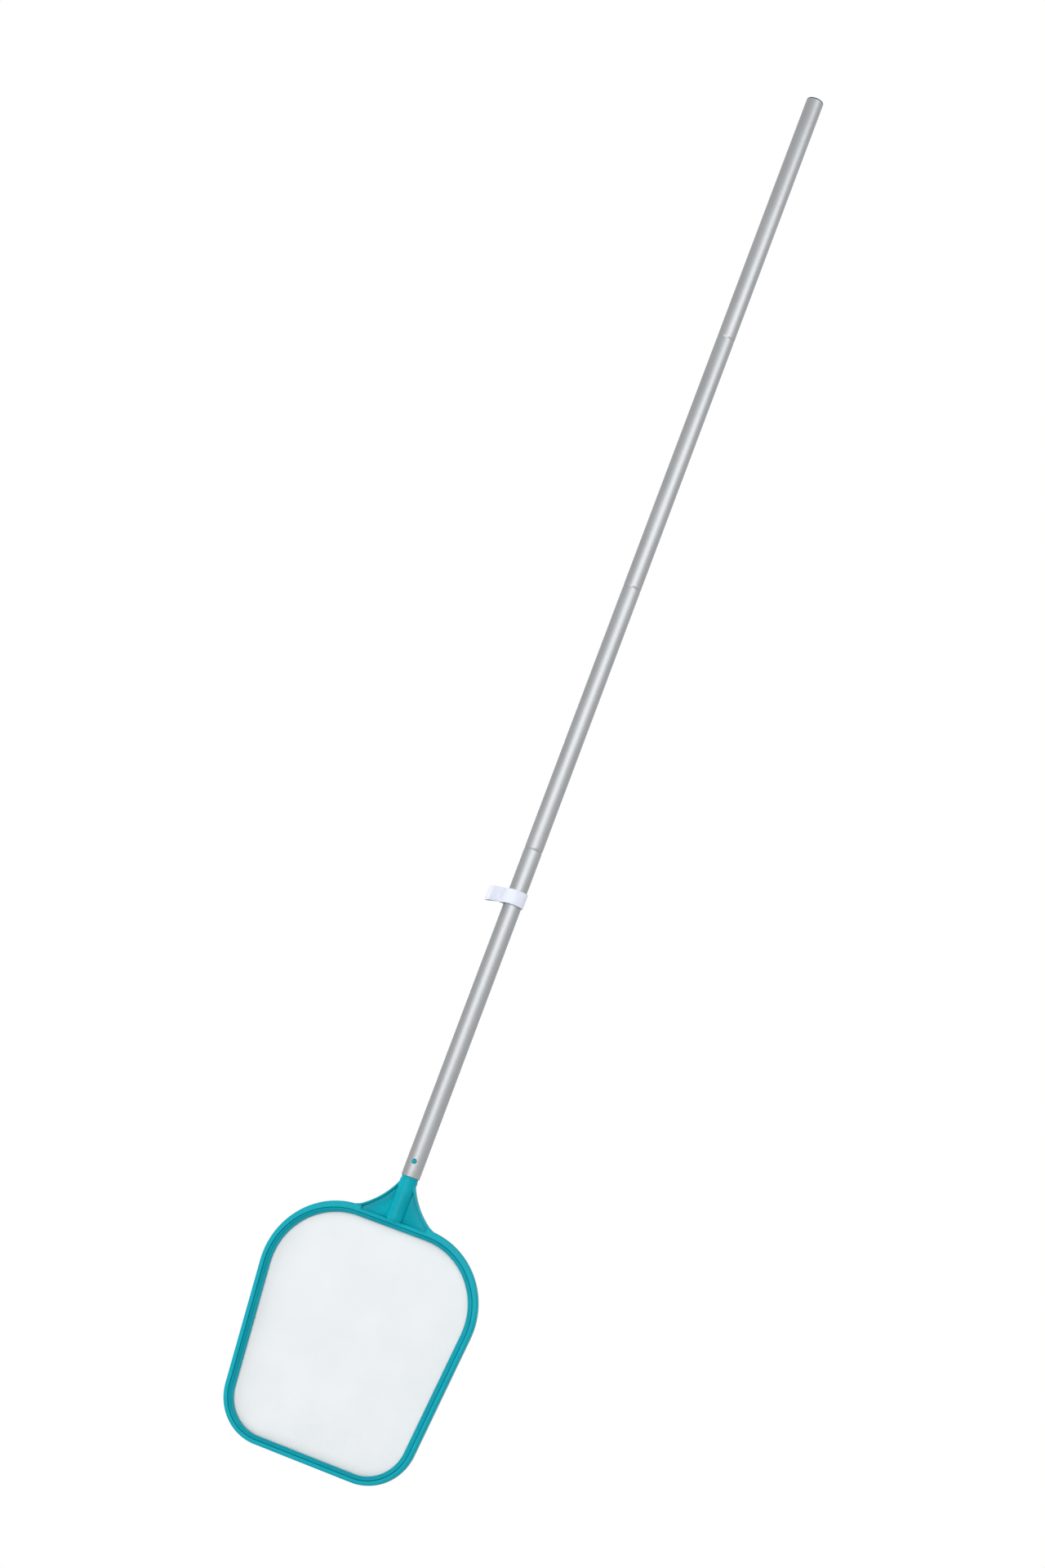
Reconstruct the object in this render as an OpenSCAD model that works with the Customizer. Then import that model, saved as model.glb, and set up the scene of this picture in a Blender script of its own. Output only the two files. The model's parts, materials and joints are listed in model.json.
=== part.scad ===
// Leaf skimmer net on a four-part push-fit pole. Millimetres, +Z up the pole, head at the bottom,
// front of the net towards -Y. The origin is on the pole's axis, halfway down the grip.

/* [Pole] */
// Outer diameter of the tubes
pole_d = 25; // [20:0.5:32]
// Wall of the tubes
pole_wall = 1; // [0.8:0.1:1.6]
// Length of each upper tube that shows
section_exposed = 390; // [200:5:600]
// Length of the bottom tube, which carries the head
bottom_tube_len = 460; // [280:5:700]
// Length of each reduced neck inside the tube below it
neck_len = 70; // [40:1:100]
// Radial gap of a neck in its tube
neck_gap = 0.06; // [0.03:0.01:0.1]
// Height of the cone where a tube is reduced to its neck
cone_h = 2.4; // [1.5:0.1:5]
// Gap between that cone and the rim below it
seat_gap = 0.3; // [0.2:0.05:0.6]
// Chamfer round the rims of the tubes
rim_chamfer = 0.3; // [0.1:0.05:0.4]

/* [End cap] */
// Height of the cap's flange above the tube
cap_flange_h = 2.5; // [1.5:0.5:4]
// How much smaller in radius the flange is than the tube
cap_flange_inset = 0.15; // [0.1:0.05:0.5]
// Rise of the dome on the flange
cap_dome_h = 0.9; // [0.3:0.1:1.1]
// Length of the plug inside the tube
cap_plug_len = 18; // [10:1:40]
// Wall of the hollow plug
cap_plug_wall = 1.8; // [1.2:0.1:3]
// Radial gap of the plug's body in the tube
cap_plug_gap = 0.4; // [0.2:0.05:0.8]
// Radial gap of the plug's grip ribs in the tube
cap_rib_gap = 0.05; // [0.02:0.01:0.1]
// Height of one grip rib
cap_rib_h = 1.5; // [1:0.1:2]

/* [Ring] */
// Half the ring's width at its widest
ring_half = 147.5; // [120:0.1:190]
// Drop from the pole's lower rim to the ring's top edge
ring_top = 55; // [52:0.5:70]
// Drop from the pole's lower rim to the ring's bottom edge
ring_bottom = 382; // [330:1:460]
// Outer radius of the two upper corners
ring_top_r = 100; // [70:0.5:110]
// Outer radius of the two lower corners
ring_bottom_r = 64; // [40:0.5:75]
// Lean of the sides, in degrees, narrower towards the bottom
ring_taper = 5.7; // [2:0.1:8]
// Width of the whole band at the top
band_top = 14; // [13:0.1:20]
// Width of the whole band at the sides
band_side = 13; // [12:0.1:20]
// Width of the whole band at the bottom
band_bottom = 11; // [10:0.1:16]
// Depth of the ring from front to back
ring_t = 13; // [12:0.5:18]
// Width of the frame's rounded outer edge
rim_w = 3.4; // [2.6:0.1:4]
// Chamfer on the ring's outer edges
ring_chamfer = 1.8; // [0.8:0.1:2.2]

/* [Retaining ring] */
// Width of the retaining ring at the top
retainer_top = 4.9; // [4.6:0.1:6]
// Width of the retaining ring at the sides
retainer_side = 7; // [5:0.1:8]
// Width of the retaining ring at the bottom
retainer_bottom = 5.6; // [5:0.1:6]
// Gap round the retaining ring in the frame
retainer_gap = 0.3; // [0.1:0.05:0.4]
// Height of the retaining ring's crest above the mesh
crest_h = 5.9; // [5:0.1:6.2]
// Width of the bevel outside the crest, which makes the groove beside the frame
crest_bevel = 1.2; // [0.6:0.1:1.5]
// Distance from the retaining ring's outer edge to the foot of its slope
slope_foot = 4.2; // [3.8:0.1:4.4]
// Width of the crest's flat top
crest_w = 0.75; // [0.4:0.05:0.9]
// Height of the flat lip above the mesh, inside the slope
lip_h = 3; // [2:0.1:4]
// Diameter of the pegs that hold the retaining ring
peg_d = 2.4; // [2:0.1:2.8]
// Distance from the retaining ring's outer edge to the middle of the pegs
peg_inset = 2.4; // [2:0.1:2.6]
// Length of the pegs below the retaining ring
peg_len = 4.6; // [3:0.1:5.5]
// Radial gap of a peg in its hole
peg_gap = 0.1; // [0.05:0.05:0.2]

/* [Mesh] */
// Thickness of the mesh
mesh_t = 0.6; // [0.3:0.1:1]
// Distance from one strand to the next
mesh_pitch = 17.2; // [16.8:0.1:40]
// Width of one strand
strand_w = 2.4; // [1:0.1:3]
// Width of the mesh's solid edge that shows inside the ring
mesh_hem = 2; // [0.5:0.1:5]

/* [Neck and gussets] */
// Radius of the neck below the pole
neck_r = 11.8; // [10:0.1:12.4]
// Radial gap of the spigot in the pole
spigot_gap = 0.3; // [0.2:0.05:0.5]
// Length of the spigot inside the pole
spigot_len = 50; // [44:1:80]
// Length of the spigot left bare between the pole and the neck
spigot_bare = 3.7; // [1:0.1:8]
// Wall of the hollow spigot
spigot_wall = 2; // [1.5:0.1:3]
// Chamfer at the spigot's top
spigot_chamfer = 1; // [0.4:0.1:1.4]
// How far the neck runs down over the ring's band
neck_overrun = 8; // [4:0.1:8.5]
// Height of the slope that ends the neck
neck_end_slope = 5; // [3:0.1:6]
// Drop from the pole's lower rim to where the gussets leave the neck
gusset_top = 11; // [8:0.1:20]
// Height of the gussets' outer corners above the ring's top edge
gusset_foot = 3.5; // [2:0.1:8]
// Half the width across the gussets' outer corners
gusset_half = 46.5; // [36:0.5:52]
// Radius of the gussets' hollow outer edges
gusset_edge_r = 105; // [70:1:200]
// Half the width across the feet of the gussets, where they land on the ring
gusset_land = 62; // [56:0.5:70]
// Radius of the hollow blend between a gusset and the ring
gusset_blend_r = 38; // [20:1:80]
// Width of the raised edge round each gusset's panel
gusset_rim_w = 2.6; // [1.5:0.1:4]
// Thickness of the panels in the gussets
gusset_web_t = 4; // [2:0.1:6]
// How far the gussets' panels reach below the ring's top edge
panel_foot = 4.5; // [2:0.1:5]
// Half the width across the gussets' panels
panel_half = 45.5; // [34:0.5:50]
// Radius of the panels' outer end
panel_end_r = 2.9; // [1:0.1:4]

/* [Lock clip] */
// Height of the buttons above the pole's lower rim
button_h = 20.5; // [16:0.5:40]
// Diameter of the buttons
button_d = 6; // [5:0.1:7]
// Gap round a button in the pole's hole
button_gap = 0.3; // [0.25:0.05:0.5]
// Extra gap round a button in the spigot's hole
button_spigot_gap = 0.3; // [0.15:0.05:0.4]
// How far a button stands out of the pole
button_proud = 0.9; // [0.4:0.1:1.1]
// Radius of a button's domed end
button_dome_r = 4.2; // [3.6:0.1:8]
// Width of the clip's arms
clip_w = 7; // [5:0.1:8]
// Thickness of the clip
clip_t = 1.6; // [1.2:0.1:2]
// Radius of the clip's bend to the middle of its thickness
clip_bend_r = 4; // [3:0.1:5]
// Drop from the pole's lower rim to the arms' pivots
clip_pivot_drop = 18; // [10:0.5:24]
// Distance from the pole's axis to the middle of an arm at its button
clip_arm_out = 7; // [6:0.1:7.3]
// Length of an arm above its button
clip_tip_len = 5; // [3.5:0.1:8]
// Gap where an arm flexes on the bend
clip_flex_gap = 0.2; // [0.1:0.05:0.4]
// Gap between the bend and the floor of the spigot's bore
clip_floor_gap = 0.1; // [0.05:0.05:0.3]

/* [Storage strap] */
// Height of the strap's middle above the pole's lower rim
strap_h = 391; // [120:1:430]
// Width of the strap along the pole
strap_w = 20; // [12:0.5:30]
// Thickness of the strap
strap_t = 1.6; // [1:0.1:2.5]
// Gap between the strap and the pole
strap_gap = 0.55; // [0.1:0.05:0.8]
// Turn of the free loop about the pole, in degrees, from the side towards the front
strap_turn = 15; // [-30:1:30]
// Reach of the free loop from the pole's axis
strap_reach = 38; // [34:0.5:60]
// Distance from the pole's axis to where the two layers meet
strap_pinch = 17.5; // [16.5:0.1:19]
// Depth of the free loop's opening
strap_loop_gap = 7; // [5:0.5:9]
// Thickness of the hook tab
hook_tab_t = 1.2; // [0.8:0.1:2]
// Gap between the hook tab and the strap under it
hook_tab_gap = 0.05; // [0.03:0.01:0.1]
// Angle of the pole that the hook tab covers
hook_tab_angle = 125; // [90:1:160]
// Angle from the free loop to where the hook tab starts
hook_tab_lead = 35; // [30:1:60]

/* [Hidden] */
$fn = 96;
// overlap that keeps cuts clear of the faces they pass through
cut = 1;
// how much lower the ring's straight runs lie than its corners, and how far they reach into them
join = 0.03;
lap = 0.8;

pole_r = pole_d / 2;
bore_r = pole_r - pole_wall;
reduced_r = bore_r - neck_gap;
reduced_bore_r = reduced_r - pole_wall;
// length of a tube's full diameter, between its rim and its cone
grip_len = section_exposed - cone_h - seat_gap;
pole_top_z = grip_len / 2;
upper_tubes = 3;
// the pole's lower rim, which the head's drops and heights are taken from
rim_z = pole_top_z - upper_tubes * section_exposed - bottom_tube_len;

// the ring's local frame: x across, y up from the pole's lower rim, z towards the front;
// the mesh lies between the ledge behind it and the retaining ring in front, at local z 0
front = ring_t / 2;
// the frame's plate and gussets lie a little below its rim, front and back
plate_front = front - 2 * join;
gusset_front = front - 3 * join;
side_out = [cos(ring_taper), -sin(ring_taper)];
// an outline round the ring: its half width, its drops to top and bottom, its corner radii
outer_line = [ring_half, ring_top, ring_bottom, ring_top_r, ring_bottom_r];
groove_line = drawn_in(outer_line, band_top - retainer_top, band_side - retainer_side,
    band_bottom - retainer_bottom);
inner_line = drawn_in(outer_line, band_top, band_side, band_bottom);
peg_side_shares = [0.1, 0.5, 0.9];
peg_corner_angles = [20, 62];
peg_bar_x = 38;

spigot_r = bore_r - spigot_gap;
spigot_bore_r = spigot_r - spigot_wall;
button_r = button_d / 2;
bore_floor = -clip_pivot_drop - clip_bend_r - clip_t / 2 - clip_floor_gap;
clip_arm_run = button_h + clip_pivot_drop;
clip_lean = atan((clip_arm_out - clip_bend_r) / clip_arm_run);

strap_in_r = pole_r + strap_gap;
strap_out_r = strap_in_r + strap_t;
loop_in_r = strap_loop_gap / 2;
loop_out_r = loop_in_r + strap_t;
loop_x = loop_out_r - strap_reach;
hook_tab_start = 180 + hook_tab_lead;

// top rim of tube number i, counted from 0 at the top
function tube_top(i) = pole_top_z - i * section_exposed;
// an outline drawn in from another by these widths
function drawn_in(line, top, side, bottom) =
    [line[0] - side, line[1] + top, line[2] - bottom,
        line[3] - (top + side) / 2, line[4] - (bottom + side) / 2];
// centres of an outline's upper and lower corners on the right
function top_centre(line) = [line[0] - line[3], -line[1] - line[3]];
function bottom_centre(line) =
    let (y = line[4] - line[2], reach = top_centre(line) * side_out + line[3] - line[4])
    [(reach - y * side_out[1]) / side_out[0], y];
// centre of the circle of radius r through p and q, on the left of the way from p to q
function arc_centre(p, q, r) =
    let (half = norm(q - p) / 2, way = (q - p) / norm(q - p))
    (p + q) / 2 + sqrt(r * r - half * half) * [-way[1], way[0]];

// ---- pole ----

// a tube whose lower end is drawn down to a neck for the tube below it
module reduced_tube(i) {
    top = tube_top(i);
    next_rim = tube_top(i + 1);
    cone_bottom = next_rim + seat_gap;
    cone_top = cone_bottom + cone_h;
    neck_bottom = next_rim - neck_len;
    rotate_extrude()
        polygon([
            [bore_r, top],
            [pole_r - rim_chamfer, top],
            [pole_r, top - rim_chamfer],
            [pole_r, cone_top],
            [reduced_r, cone_bottom],
            [reduced_r, neck_bottom + rim_chamfer],
            [reduced_r - rim_chamfer, neck_bottom],
            [reduced_bore_r, neck_bottom],
            [reduced_bore_r, cone_bottom],
            [bore_r, cone_top]
        ]);
}

// both button holes, across the pole or the spigot
module button_holes(gap) {
    translate([0, 0, rim_z + button_h])
        rotate([90, 0, 0])
            cylinder(r = button_r + gap, h = pole_d + 2 * cut, center = true);
}

module pole_section(i) {
    color("silver")
        reduced_tube(i);
}

module bottom_section() {
    top = tube_top(upper_tubes);
    color("silver")
        difference() {
            rotate_extrude()
                polygon([
                    [bore_r, top],
                    [pole_r - rim_chamfer, top],
                    [pole_r, top - rim_chamfer],
                    [pole_r, rim_z + rim_chamfer],
                    [pole_r - rim_chamfer, rim_z],
                    [bore_r, rim_z]
                ]);
            button_holes(button_gap);
        }
}

module end_cap() {
    flange_r = pole_r - cap_flange_inset;
    plug_r = bore_r - cap_plug_gap;
    rib_r = bore_r - cap_rib_gap;
    // the sphere whose cap has the dome's rise over the flange
    dome_r = (flange_r * flange_r + cap_dome_h * cap_dome_h) / (2 * cap_dome_h);
    color("dimgray")
        translate([0, 0, pole_top_z]) {
            intersection() {
                cylinder(r = flange_r, h = cap_flange_h);
                translate([0, 0, cap_flange_h - dome_r])
                    sphere(r = dome_r, $fn = 192);
            }
            difference() {
                union() {
                    translate([0, 0, -cap_plug_len])
                        cylinder(r = plug_r, h = cap_plug_len);
                    for (i = [1 : 3])
                        translate([0, 0, -i * cap_plug_len / 4])
                            cylinder(r = rib_r, h = cap_rib_h);
                }
                translate([0, 0, -cap_plug_len - cut])
                    cylinder(r = plug_r - cap_plug_wall, h = cap_plug_len + cut);
            }
        }
}

// ---- head: outlines and sweeps in the ring's local frame ----

// puts the local frame on the pole's lower rim, with local z turned to the front
module on_head() {
    translate([0, 0, rim_z])
        rotate([90, 0, 0])
            children();
}

// a plate inside an outline drawn in by inset, lying on the local z = 0
module ring_plate(line, inset, thickness) {
    top_c = top_centre(line);
    bottom_c = bottom_centre(line);
    top_r = line[3] - inset - join;
    bottom_r = line[4] - inset - join;
    half = [
        top_c + [0, top_r],
        top_c + top_r * side_out,
        bottom_c + bottom_r * side_out,
        bottom_c - [0, bottom_r]
    ];
    mirrored = [for (i = [len(half) - 1 : -1 : 0]) [-half[i][0], half[i][1]]];
    for (side = [-1, 1]) {
        translate([side * top_c[0], top_c[1]])
            cylinder(r = top_r + join, h = thickness);
        translate([side * bottom_c[0], bottom_c[1]])
            cylinder(r = bottom_r + join, h = thickness);
    }
    linear_extrude(thickness)
        polygon(concat(half, mirrored));
}

// straight runs of an outline: the profile's x runs in from the outline, its y to the front
module sweep_bar(from, angle, length) {
    translate(from)
        rotate([0, 0, angle])
            rotate([90, 0, 90])
                translate([0, 0, -lap])
                    linear_extrude(length + 2 * lap)
                        children();
}
module sweep_bars(line) {
    top_c = top_centre(line);
    bottom_c = bottom_centre(line);
    top_tangent = top_c + line[3] * side_out;
    bottom_tangent = bottom_c + line[4] * side_out;
    side_len = norm(top_tangent - bottom_tangent);
    sweep_bar([-bottom_c[0], -line[2]], 0, 2 * bottom_c[0])
        children();
    sweep_bar(bottom_tangent, 90 - ring_taper, side_len)
        children();
    sweep_bar([top_c[0], -line[1]], 180, 2 * top_c[0])
        children();
    sweep_bar([-top_tangent[0], top_tangent[1]], ring_taper - 90, side_len)
        children();
}

// the four round corners between those runs
module sweep_corner(centre, radius, start, span) {
    translate(centre)
        rotate([0, 0, start])
            rotate_extrude(angle = span)
                translate([radius, 0])
                    mirror([1, 0])
                        children();
}
module sweep_corners(line) {
    top_c = top_centre(line);
    bottom_c = bottom_centre(line);
    sweep_corner(bottom_c, line[4], -90, 90 - ring_taper)
        children();
    sweep_corner(top_c, line[3], -ring_taper, 90 + ring_taper)
        children();
    sweep_corner([-top_c[0], top_c[1]], line[3], 90, 90 + ring_taper)
        children();
    sweep_corner([-bottom_c[0], bottom_c[1]], line[4], 180 + ring_taper, 90 - ring_taper)
        children();
}

// the places of the pegs, spread round the retaining ring under its crest
module at_pegs() {
    top_c = top_centre(groove_line);
    bottom_c = bottom_centre(groove_line);
    top_r = groove_line[3] - peg_inset;
    side_top = top_c + top_r * side_out;
    side_bottom = bottom_c + (groove_line[4] - peg_inset) * side_out;
    for (side = [-1, 1])
        scale([side, 1, 1]) {
            for (share = peg_side_shares)
                translate(side_bottom + share * (side_top - side_bottom))
                    children();
            for (angle = peg_corner_angles)
                translate(top_c + top_r * [cos(angle), sin(angle)])
                    children();
            translate([peg_bar_x, peg_inset - groove_line[2]])
                children();
            translate([peg_bar_x, -groove_line[1] - peg_inset])
                children();
        }
}

// the section of the frame's outer edge, drawn in at both sides by inset
module rim_profile(inset) {
    edge = ring_chamfer + inset;
    face = front - inset;
    polygon([
        [edge, -face],
        [rim_w - inset, -face],
        [rim_w - inset, face],
        [edge, face],
        [inset, face - ring_chamfer],
        [inset, ring_chamfer - face]
    ]);
}

// the section of the retaining ring's crest, drawn in at both sides by inset
module crest_profile(inset) {
    top = crest_bevel + crest_w;
    polygon([
        [inset, 0],
        [slope_foot - inset, 0],
        [slope_foot - inset, lip_h],
        [top - inset, crest_h],
        [crest_bevel + inset, crest_h],
        [inset, crest_h - 2 * crest_bevel]
    ]);
}

// half of the gussets' outline: hollow from the neck to the corner, then blended into the ring
module gusset_outline() {
    leave = [neck_r, -gusset_top];
    corner = [gusset_half, gusset_foot - ring_top];
    top_c = top_centre(outer_line);
    over = gusset_land - top_c[0];
    land = [gusset_land, top_c[1] + sqrt(ring_top_r * ring_top_r - over * over)];
    beyond = corner + [cut, cut];
    difference() {
        polygon([[0, leave[1]], leave, beyond, land, land - [0, rim_w], [0, -ring_top - rim_w]]);
        translate(arc_centre(leave, corner, gusset_edge_r))
            circle(r = gusset_edge_r, $fn = 192);
        translate(arc_centre(corner, land, gusset_blend_r))
            circle(r = gusset_blend_r);
    }
}

// the sunk panel between the neck, the hollow edge and the ring
module gusset_panel() {
    leave = [neck_r, -gusset_top];
    corner = [gusset_half, gusset_foot - ring_top];
    floor = -ring_top - panel_foot;
    end_x = panel_half - panel_end_r;
    difference() {
        union() {
            polygon([[0, leave[1]], leave, [end_x, corner[1]], [end_x, floor], [0, floor]]);
            translate([end_x, floor + panel_end_r + join])
                circle(r = panel_end_r);
        }
        translate(arc_centre(leave, corner, gusset_edge_r))
            circle(r = gusset_edge_r + gusset_rim_w, $fn = 192);
    }
}

module gussets() {
    for (side = [-1, 1])
        scale([side, 1, 1])
            linear_extrude(2 * gusset_front, center = true)
                gusset_outline();
}

// the sunk panels at both sides of the neck, in both faces
module panel_cuts() {
    for (side = [-1, 1])
        for (face = [-1, 1])
            scale([side, 1, 1])
                translate([0, 0, face * (gusset_web_t + ring_t) / 2])
                    linear_extrude(ring_t, center = true)
                        gusset_panel();
}

// the neck, turned about the pole's axis: it ends in a slope over the ring's band
module neck_and_spigot() {
    end = -ring_top - neck_overrun;
    rotate([-90, 0, 0])
        rotate_extrude()
            polygon([
                [0, end],
                [neck_r - neck_end_slope, end],
                [neck_r, end + neck_end_slope],
                [neck_r, -spigot_bare],
                [spigot_r, -spigot_bare],
                [spigot_r, spigot_len - spigot_chamfer],
                [spigot_r - spigot_chamfer, spigot_len],
                [0, spigot_len]
            ]);
}

// what is cut from the frame: the retaining ring's pocket, the opening and the peg holes
module frame_cuts() {
    translate([0, 0, -mesh_t])
        ring_plate(groove_line, -retainer_gap, ring_t);
    translate([0, 0, -ring_t])
        ring_plate(inner_line, 0, 2 * ring_t);
    at_pegs()
        translate([0, 0, -mesh_t - peg_len])
            cylinder(r = peg_d / 2 + peg_gap, h = peg_len + cut, $fn = 24);
}

module frame_body() {
    color("darkcyan")
        difference() {
            on_head()
                difference() {
                    union() {
                        difference() {
                            union() {
                                sweep_bars(outer_line)
                                    rim_profile(join);
                                sweep_corners(outer_line)
                                    rim_profile(0);
                                translate([0, 0, -plate_front])
                                    ring_plate(outer_line, rim_w - lap, 2 * plate_front);
                                gussets();
                            }
                            panel_cuts();
                        }
                        neck_and_spigot();
                    }
                    frame_cuts();
                }
            translate([0, 0, rim_z + bore_floor])
                cylinder(r = spigot_bore_r, h = spigot_len - bore_floor + cut);
            button_holes(button_gap + button_spigot_gap);
        }
}

module retaining_ring() {
    color("darkcyan")
        on_head() {
            sweep_bars(groove_line)
                crest_profile(join);
            sweep_corners(groove_line)
                crest_profile(0);
            difference() {
                ring_plate(groove_line, slope_foot - lap, lip_h);
                translate([0, 0, -cut])
                    ring_plate(inner_line, 0, lip_h + 2 * cut);
            }
            at_pegs()
                translate([0, 0, -peg_len])
                    cylinder(r = peg_d / 2, h = peg_len + lip_h / 2, $fn = 24);
        }
}

// a block over part of the mesh's inside, tall enough to cut through it
module through_mesh(corner, size) {
    translate([corner[0], corner[1], -mesh_t - cut])
        cube([size[0], size[1], mesh_t + 2 * cut]);
}

module mesh() {
    half = inner_line[0] - mesh_hem;
    middle = -(inner_line[1] + inner_line[2]) / 2;
    rise = middle + inner_line[2] - mesh_hem;
    columns = ceil(half / mesh_pitch);
    rows = ceil(rise / mesh_pitch);
    gap_w = mesh_pitch - strand_w;
    long = 2 * columns * mesh_pitch;
    tall = 2 * rows * mesh_pitch;
    color("whitesmoke")
        on_head()
            difference() {
                translate([0, 0, -mesh_t])
                    ring_plate(groove_line, 0, mesh_t);
                intersection() {
                    translate([0, 0, -mesh_t - cut])
                        ring_plate(inner_line, mesh_hem, mesh_t + 2 * cut);
                    for (i = [-columns : columns - 1])
                        through_mesh([i * mesh_pitch + strand_w / 2, middle - tall / 2], [gap_w, tall]);
                    for (i = [-rows : rows - 1])
                        through_mesh([-long / 2, middle + i * mesh_pitch + strand_w / 2], [long, gap_w]);
                }
                at_pegs()
                    translate([0, 0, -mesh_t - cut])
                        cylinder(r = peg_d / 2 + peg_gap, h = mesh_t + 2 * cut, $fn = 24);
            }
}

// ---- lock clip ----

module bend() {
    color("darkcyan")
        translate([0, 0, rim_z - clip_pivot_drop])
            rotate([0, 90, 0])
                rotate([0, 0, -90])
                    translate([0, 0, -clip_w / 2])
                        rotate_extrude(angle = 180)
                            translate([clip_bend_r - clip_t / 2, 0])
                                square([clip_t, clip_w]);
}

// one arm with its button; side is -1 at the front and 1 at the rear
module clip_arm(side) {
    tip = pole_r + button_proud;
    root = clip_arm_out - clip_t / 2;
    arm_len = (clip_arm_run + clip_tip_len) / cos(clip_lean);
    color("darkcyan")
        translate([0, 0, rim_z])
            scale([1, side, 1]) {
                translate([0, clip_bend_r, -clip_pivot_drop])
                    rotate([-clip_lean, 0, 0])
                        translate([-clip_w / 2, -clip_t / 2, clip_flex_gap])
                            cube([clip_w, clip_t, arm_len - clip_flex_gap]);
                intersection() {
                    translate([0, root, button_h])
                        rotate([-90, 0, 0])
                            cylinder(r = button_r, h = tip - root);
                    translate([0, tip - button_dome_r, button_h])
                        rotate([-90, 0, 0])
                            union() {
                                sphere(r = button_dome_r);
                                translate([0, 0, root - tip])
                                    cylinder(r = button_dome_r, h = tip - root);
                            }
                }
            }
}

// ---- storage strap ----

// puts a piece at the strap's height, turned so that its -x is the way the free loop points
module on_strap() {
    translate([0, 0, rim_z + strap_h - strap_w / 2])
        rotate([0, 0, strap_turn])
            children();
}

// the outline of a loop round the pole and a free loop beyond the pinch
module strap_outline(wrap_r, loop_r, neck_half) {
    // half the angle that the run from the wrap to the pinch starts at
    lead = acos(wrap_r / norm([strap_pinch, neck_half])) + atan(neck_half / strap_pinch);
    circle(r = wrap_r);
    translate([loop_x, 0])
        circle(r = loop_r);
    polygon([
        [-strap_pinch, neck_half],
        [loop_x, loop_r],
        [loop_x, -loop_r],
        [-strap_pinch, -neck_half],
        wrap_r * [-cos(lead), -sin(lead)],
        wrap_r * [-cos(lead), sin(lead)]
    ]);
}

module strap() {
    color("white")
        on_strap()
            linear_extrude(strap_w)
                difference() {
                    strap_outline(strap_out_r, loop_out_r, strap_t);
                    circle(r = strap_in_r);
                    translate([loop_x, 0])
                        circle(r = loop_in_r);
                    polygon([[-strap_pinch - strap_t, 0], [loop_x, loop_in_r], [loop_x, -loop_in_r]]);
                }
}

module hook_tab() {
    color("white")
        on_strap()
            rotate([0, 0, hook_tab_start])
                rotate_extrude(angle = hook_tab_angle)
                    translate([strap_out_r + hook_tab_gap, 0])
                        square([hook_tab_t, strap_w]);
}

pole_section(0);  // pole_section_1
pole_section(1);  // pole_section_2
pole_section(2);  // pole_section_3
bottom_section();  // pole_section_4
end_cap();  // pole_end_cap
frame_body();  // net_frame
retaining_ring();  // net_retaining_ring
mesh();  // net_mesh
bend();  // clip_bend
clip_arm(-1);  // clip_arm_front
clip_arm(1);  // clip_arm_rear
strap();  // storage_strap
hook_tab();  // strap_hook_tab
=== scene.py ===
import json
import math

import bmesh
import bpy
from mathutils import Matrix, Vector, noise

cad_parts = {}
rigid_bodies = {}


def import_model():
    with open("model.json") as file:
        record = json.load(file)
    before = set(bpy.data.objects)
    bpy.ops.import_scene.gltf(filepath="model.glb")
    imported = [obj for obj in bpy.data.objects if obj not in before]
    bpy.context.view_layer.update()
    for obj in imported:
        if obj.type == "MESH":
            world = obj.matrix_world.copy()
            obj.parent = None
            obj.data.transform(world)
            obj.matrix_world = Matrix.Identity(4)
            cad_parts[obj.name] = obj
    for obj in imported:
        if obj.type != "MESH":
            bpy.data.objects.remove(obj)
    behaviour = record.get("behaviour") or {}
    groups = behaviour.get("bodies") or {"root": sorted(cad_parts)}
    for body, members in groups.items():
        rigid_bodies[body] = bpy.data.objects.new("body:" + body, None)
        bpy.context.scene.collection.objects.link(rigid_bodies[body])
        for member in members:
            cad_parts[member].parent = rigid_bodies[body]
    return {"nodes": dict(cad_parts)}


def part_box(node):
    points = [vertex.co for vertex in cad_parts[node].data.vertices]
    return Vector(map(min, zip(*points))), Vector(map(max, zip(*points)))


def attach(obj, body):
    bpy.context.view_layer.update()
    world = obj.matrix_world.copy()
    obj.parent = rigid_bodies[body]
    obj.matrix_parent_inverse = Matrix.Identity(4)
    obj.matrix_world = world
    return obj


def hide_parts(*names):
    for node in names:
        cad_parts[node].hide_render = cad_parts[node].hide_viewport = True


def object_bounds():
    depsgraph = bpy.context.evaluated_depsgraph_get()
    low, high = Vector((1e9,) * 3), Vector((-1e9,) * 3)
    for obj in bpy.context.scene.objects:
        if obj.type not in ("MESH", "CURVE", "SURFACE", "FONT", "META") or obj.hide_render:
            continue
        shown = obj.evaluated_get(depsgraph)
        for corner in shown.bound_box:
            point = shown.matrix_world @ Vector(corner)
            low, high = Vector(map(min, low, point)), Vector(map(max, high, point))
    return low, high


for leftover in list(bpy.data.objects):
    bpy.data.objects.remove(leftover)
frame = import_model()
cadLow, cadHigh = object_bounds()
scene = bpy.context.scene
scene.view_settings.view_transform = "Standard"

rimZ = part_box("pole_section_4")[0].z  # the pole's lower rim, where the head is pushed in
headPlace = Matrix.Translation((0, 0, rimZ)) @ Matrix.Rotation(math.radians(90), 4, "X")
print("frame loaded, pole's lower rim at", round(rimZ, 5))


cameraPlan = {
    "lens": 57.533,
    "turn": 13.212,  # degrees round the pole, towards the net's right side
    "lookUp": 12.301,
    "roll": 20.8,
    # where the lower rim's middle is, along the camera's own axes
    "rimInView": (-0.14571, -0.5105, -3.25181),
}


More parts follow.
